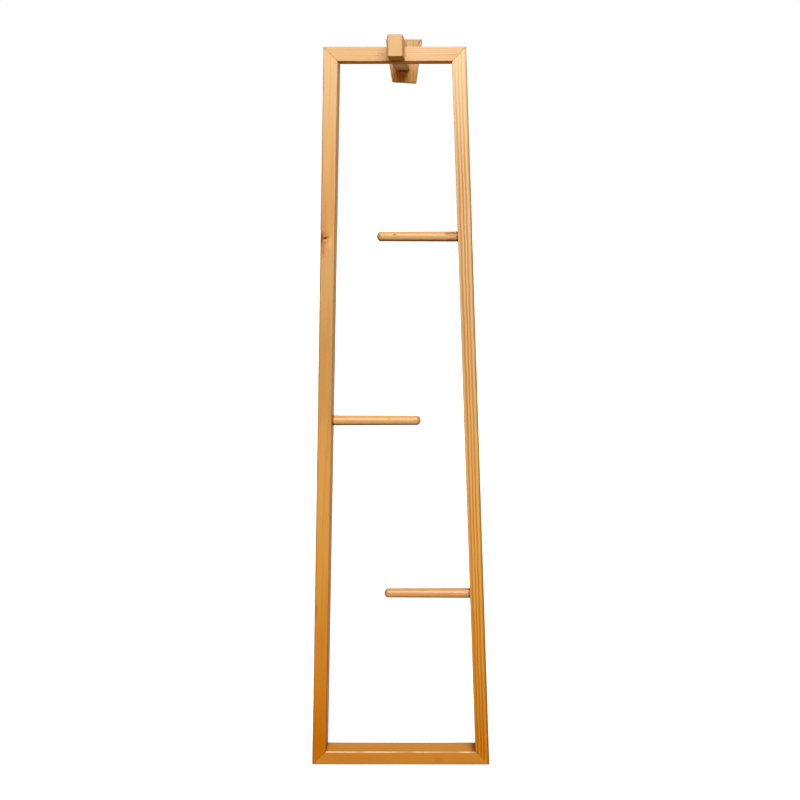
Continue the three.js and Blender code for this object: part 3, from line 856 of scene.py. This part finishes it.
hanger = {
    "middleX": 0.005, "middleZ": 1.7743, "width": 0.058, "height": 0.022, "thickness": 0.002,
    "cornerRadius": 0.007, "cornerSteps": 12, "fit": 0.0003, "entry": 0.005, "slot": 0.0026, "drop": 0.004,
    "rise": 0.008, "pocketWidth": 0.016, "pocketHeight": 0.018, "pocketDepth": 0.009,
    "pocketRadius": 0.003, "pocketSteps": 6, "ease": 0.00025,
}

armScrew = {
    "head": 0.01, "headDepth": 0.0032, "shank": 0.005, "length": 0.06, "point": 0.008,
    "sink": 0.0006, "middleZ": 1.7438, "spacing": 0.02, "pitch": 0.0024, "threadDepth": 0.0009,
    "plain": 0.022, "steps": 330, "sides": 32,
}
hangerScrew = {
    "head": 0.0056, "headDepth": 0.0015, "shank": 0.003, "length": 0.016, "point": 0.004,
    "sink": 0.0, "spacing": 0.042, "pitch": 0.0013, "threadDepth": 0.0005,
    "plain": 0.0035, "steps": 150, "sides": 28,
}
screwShape = {
    "fit": 0.0003, "ridge": 2.6, "core": 0.45, "crest": 0.55, "tip": 0.02, "crease": 40,
    "crossLong": 0.56, "crossNarrow": 0.15, "crossDeep": 0.18,  # as shares of the head
}
armScrewHeights = [armScrew["middleZ"] + side * armScrew["spacing"] / 2 for side in (-1, 1)]
hangerScrewPlaces = [hanger["middleX"] + side * hangerScrew["spacing"] / 2 for side in (-1, 1)]
towardsFront = (0, -1, 0)


def screwHole(x, z, screw):
    wide, narrow = screw["head"] / 2 + screwShape["fit"], screw["shank"] / 2 + screwShape["fit"]
    return roundBar((x, plate["back"] - screw["sink"], z), towardsFront, [
        (-screw["sink"] - plate["past"], wide), (0, wide),
        (screw["headDepth"], narrow), (screw["length"], narrow),
    ])


hangerHoles = [screwHole(place, hanger["middleZ"], hangerScrew) for place in hangerScrewPlaces]


def roundedPatch(wide, high, radius, steps, bottom, top):  # about the hanger's middle
    x, z = hanger["middleX"], hanger["middleZ"]
    outline = roundedRing(x - wide, x + wide, z - high, z + high, radius, radius, steps)
    return standing((bottom, outline), (top, outline))


def hangerBody(grown, past):  # the flat strip, larger all round by one length and carried past the back
    return roundedPatch(
        hanger["width"] / 2 + grown, hanger["height"] / 2 + grown, hanger["cornerRadius"] + grown,
        hanger["cornerSteps"], plate["back"] - hanger["thickness"] - grown, plate["back"] + past)


def roundEdges(shape, chosen, radius, steps):
    bmesh.ops.bevel(shape, geom=chosen, offset=radius, segments=steps, profile=0.5, affect="EDGES")


def buildPlate():
    x, lowHalf, highHalf = plate["middleX"], plate["lowWidth"] / 2, plate["highWidth"] / 2
    outline = [
        (x - lowHalf, plate["low"] + plate["footSkew"]), (x + lowHalf, plate["low"]),
        (x + highHalf, plate["high"]), (x - highHalf, plate["high"]),
    ]
    thing = skin("wall_plate_wood", standing((plate["front"], outline), (plate["back"], outline)))
    shape = bmesh.new()
    shape.from_mesh(thing.data)
    halfThick, touching = (plate["back"] - plate["front"]) / 2, 1e-6
    through = [edge for edge in shape.edges if abs(edge.verts[0].co.y - edge.verts[1].co.y) > halfThick]
    roundEdges(shape, through, plate["sideRounding"], plate["sideSteps"])
    front = [edge for edge in shape.edges
             if all(abs(vertex.co.y - plate["front"]) < touching for vertex in edge.verts)]
    roundEdges(shape, front, plate["frontRounding"], plate["frontSteps"])
    shape.to_mesh(thing.data)
    shape.free()
    subtract(thing, hangerBody(hanger["fit"], plate["past"]))
    subtract(thing, roundedPatch(
        hanger["pocketWidth"] / 2, hanger["pocketHeight"] / 2, hanger["pocketRadius"],
        hanger["pocketSteps"], plate["back"] - hanger["thickness"] - hanger["pocketDepth"],
        plate["back"] + plate["past"]))
    armHoles = [screwHole(arm["middleX"], z, armScrew) for z in armScrewHeights]
    subtract(thing, *armHoles, *hangerHoles)
    return easeAndShade(thing, plate["ease"])


plateMaterial = Pine("wallPlatePine", {
    "start": Vector((plate["middleX"], (plate["front"] + plate["back"]) / 2, 0)),
    "turn": Matrix.Identity(3),
    "section": (0.06, 0.01), "pith": (-0.09, 0.012), "ringWidth": 0.0075, "ring": broadRing,
    "ripple": 0.001, "roughness": 0.48, "coat": 0.06, "cast": (0.77, 0.8, 0.86), "skin": (0.002, 0.008),
    "marks": [  # painted shadow below the arm, darkest in a line where the arm meets the plate
        Mark((0.0, 1.68), (0.2, 0.055), (0.9, 0.73, 0.42), core=0.5),
        Mark((-0.014, 1.702), (0.028, 0.03), (1.04, 0.68, 0.24), 0.9),
        Mark((-0.0035, 1.718), (0.018, 0.0024), (0.3, 0.16, 0.06), 0.9, core=0.6),
    ],
}).material
dress(buildPlate(), plateMaterial, "wall_bracket", "wall_plate")
print("wall plate built")


# Zinc-plated steel: the keyhole hanger and its screws

zincLook = {
    "dark": (0.34, 0.35, 0.37, 1), "pale": (0.5, 0.5, 0.5, 1), "blotch": (0.42, 0.41, 0.34, 1),
    "scratch": (0.66, 0.66, 0.67, 1), "blotchScale": 220, "blotchSpan": (0.48, 0.75), "blotchDepth": 0.5,
    "scratchScale": (2600, 300, 140), "scratchSpan": (0.7, 0.76), "scratchDepth": 0.6,
    "relief": 0.25, "distance": 0.0001, "brushedRelief": 0.6, "roughness": 0.26, "blotchRough": 0.22,
    "brushedRough": 0.08, "flatGrain": (60, 1200, 2600), "screwGrain": (900, 900, 900),
}


def zinc(name, grain, look=zincLook):
    def lines(scales, detail):
        return bench.noise(bench.vector(*[way * scale for way, scale in zip(place, scales)]), detail=detail)

    material = newMaterial(name)
    bench = Bench(material.node_tree)
    place = bench.split(bench.add("ShaderNodeTexCoord", output="Object"))
    brushed = lines(grain, 3.0)
    blotch = bench.noise(bench.vector(*place), scale=look["blotchScale"], detail=3.0)
    scratch = bench.smooth(lines(look["scratchScale"], 1.0), *look["scratchSpan"])
    colour = bench.tint(brushed, look["dark"], look["pale"])
    dull = bench.smooth(blotch, *look["blotchSpan"]) * look["blotchDepth"]
    colour = bench.tint(dull, colour, look["blotch"])
    colour = bench.tint(scratch * look["scratchDepth"], colour, look["scratch"])
    bump = bench.bump(look["relief"], look["distance"], brushed * look["brushedRelief"] - scratch)
    rough = look["roughness"] + blotch * look["blotchRough"] + brushed * look["brushedRough"]
    bench.finish({"Base Color": colour, "Roughness": rough, "Metallic": 1.0, "Normal": bump})
    return material


def buildHanger():
    thing = skin("keyhole_hanger_steel", hangerBody(0, 0))
    x, entry, slot = hanger["middleX"], hanger["middleZ"] - hanger["drop"], hanger["slot"]
    slotEnd, start = entry + hanger["rise"], plate["back"] + plate["past"]
    through = hanger["thickness"] + 2 * plate["past"]
    for z, radius in ((entry, hanger["entry"]), (slotEnd, slot)):
        subtract(thing, drill((x, start, z), towardsFront, 0, through, radius))
    way = [(x - slot, entry), (x + slot, entry), (x + slot, slotEnd), (x - slot, slotEnd)]
    subtract(thing, standing((start - through, way), (start, way)))
    subtract(thing, *hangerHoles)
    return easeAndShade(thing, hanger["ease"])


def screwTree():
    bench, given = newTree(
        "countersunkScrew", "length head headDepth shank point pitch threadDepth plain", "sides steps")
    stock, x, y, z = roundStock(bench, given.sides, given.steps)
    depth = (z + 0.5) * given.length
    half = given.shank / 2
    neck = half + (given.head / 2 - half) * bench.clamp(1 - depth / given.headDepth)
    turns = depth / given.pitch + bench.sum("ARCTAN2", y, x) / math.tau
    fromCrest = bench.sum("ABSOLUTE", turns - bench.sum("FLOOR", turns) - 0.5)
    ridge = bench.clamp(1 - fromCrest * screwShape["ridge"])
    threaded = bench.clamp((depth - given.plain) / given.pitch)
    belowHead = bench.clamp((depth - given.headDepth) / given.pitch)
    worn = screwShape["core"] + threaded * (screwShape["crest"] - ridge)
    radius = neck - given.threadDepth * worn * belowHead
    tip = bench.clamp((given.length - depth) / given.point)
    radius = radius * bench.sum("MAXIMUM", tip, screwShape["tip"])
    placed = reshape(bench, stock, x * radius, y * radius, depth)
    long, narrow = given.head * screwShape["crossLong"], given.head * screwShape["crossNarrow"]
    deep = given.head * screwShape["crossDeep"] * 2
    slots = [bench.add("GeometryNodeMeshCube", inputs={"Size": bench.vector(*size)})
             for size in ((long, narrow, deep), (narrow, long, deep))]
    settings = {"operation": "UNION", "solver": "EXACT"}
    cross = bench.add("GeometryNodeMeshBoolean", settings, {"Mesh 2": slots})
    settings["operation"] = "DIFFERENCE"
    cut = bench.add("GeometryNodeMeshBoolean", settings, {"Mesh 1": placed, "Mesh 2": cross})
    return endTree(bench, cut, given)


steel, screwSteel = zinc("hangerZinc", zincLook["flatGrain"]), zinc("screwZinc", zincLook["screwGrain"])
dress(buildHanger(), steel, "wall_bracket", "keyhole_hanger")
threadTree = screwTree()
screwPlaces = {
    "lower_arm_screw": (armScrew, arm["middleX"], armScrewHeights[0]),
    "upper_arm_screw": (armScrew, arm["middleX"], armScrewHeights[1]),
    "left_hanger_screw": (hangerScrew, hangerScrewPlaces[0], hanger["middleZ"]),
    "right_hanger_screw": (hangerScrew, hangerScrewPlaces[1], hanger["middleZ"]),
}
for name, (screw, x, z) in screwPlaces.items():
    placed = standAt((x, plate["back"] - screw["sink"], z), towardsFront)
    thing = runTree(name + "_steel", threadTree, screw, screwSteel, placed)
    easeAndShade(thing, crease=screwShape["crease"])
    dress(thing, screwSteel, "wall_bracket", name)
print("hanger and screws made")


# Camera at the photograph's angle

view = {
    "place": (0.1625, -2.9785, 1.4291), "yaw": -0.00451, "pitch": 0.14945, "roll": 0.00082,
    "lens": 56.25, "sensor": 36, "shift": (-0.075, -0.03),
}


def placeCamera():
    yaw, pitch, roll = view["yaw"], view["pitch"], view["roll"]
    forward = Vector((math.sin(yaw) * math.cos(pitch), math.cos(yaw) * math.cos(pitch), -math.sin(pitch)))
    right = Vector((math.cos(yaw), -math.sin(yaw), 0))
    down = forward.cross(right)
    turnedRight = math.cos(roll) * right + math.sin(roll) * down
    turnedDown = math.cos(roll) * down - math.sin(roll) * right
    lens = bpy.data.cameras.new("camera")
    lens.lens = view["lens"]
    lens.sensor_width = view["sensor"]
    lens.shift_x, lens.shift_y = view["shift"]
    camera = newThing("camera", lens)
    turn = Matrix((turnedRight, -turnedDown, -forward)).transposed()
    camera.matrix_world = Matrix.Translation(view["place"]) @ turn.to_4x4()
    bpy.context.scene.camera = camera


placeCamera()


# Studio: a soft high sun from the front right, a weak one from the left, and a white floor

studio = {
    "suns": {  # the way to each, its strength and its softness in degrees
        "key": ((0.14, -0.72, 0.68), 3.14, 46),
        "fill": ((-0.55, -0.8, 0.15), 0.45, 120),
    },
    "surround": 0.24, "floorBounce": 0.25, "floorGlow": 0.42, "floorLevel": -0.0003,
    "floorHalf": 40, "floorCells": 8,
}
white = (1, 1, 1, 1)


def addSun(name, towards, strength, softness):
    light = bpy.data.lights.new(name, "SUN")
    light.energy = strength
    light.angle = math.radians(softness)
    lamp = newThing(name, light)
    lamp.rotation_mode = "QUATERNION"
    lamp.rotation_quaternion = Vector(towards).to_track_quat("Z", "Y")


def seenDirectly(bench):  # 1 for the camera, for reflections and through glass
    camera, glossy, clear = (bench.add("ShaderNodeLightPath", output="Is " + ray + " Ray")
                             for ray in ("Camera", "Glossy", "Transmission"))
    return bench.sum("MAXIMUM", camera, bench.sum("MAXIMUM", glossy, clear))


def buildSurround():
    world = bpy.data.worlds.new("surround")
    bpy.context.scene.world = world
    world.use_nodes = True
    bench = Bench(world.node_tree)
    strength = seenDirectly(bench) * (1 - studio["surround"]) + studio["surround"]
    light = bench.add("ShaderNodeBackground", inputs={"Color": white, "Strength": strength})
    bench.add("ShaderNodeOutputWorld", inputs={"Surface": light}, output=None)


def buildFloor():
    floor = newThing("floor")
    shape = bmesh.new()
    cells = studio["floorCells"]
    bmesh.ops.create_grid(shape, x_segments=cells, y_segments=cells, size=studio["floorHalf"])
    bmesh.ops.translate(shape, vec=(0, 0, studio["floorLevel"]), verts=shape.verts)
    shape.to_mesh(floor.data)
    shape.free()
    material = newMaterial("paleFloor")
    bench = Bench(material.node_tree)
    seen = seenDirectly(bench)
    bounce = studio["floorBounce"]
    shade = bench.tint(seen, (bounce, bounce, bounce, 1), white)
    matt = bench.add("ShaderNodeBsdfDiffuse", inputs={"Color": shade})
    glow = bench.add("ShaderNodeEmission", inputs={"Color": white, "Strength": seen * studio["floorGlow"]})
    both = bench.add("ShaderNodeAddShader", inputs={0: matt, 1: glow})
    bench.add("ShaderNodeOutputMaterial", inputs={"Surface": both}, output=None)
    floor.data.materials.append(material)


for name, sun in studio["suns"].items():
    addSun(name, *sun)
buildSurround()
buildFloor()
bpy.context.scene.view_settings.view_transform = "Standard"
print("studio set")
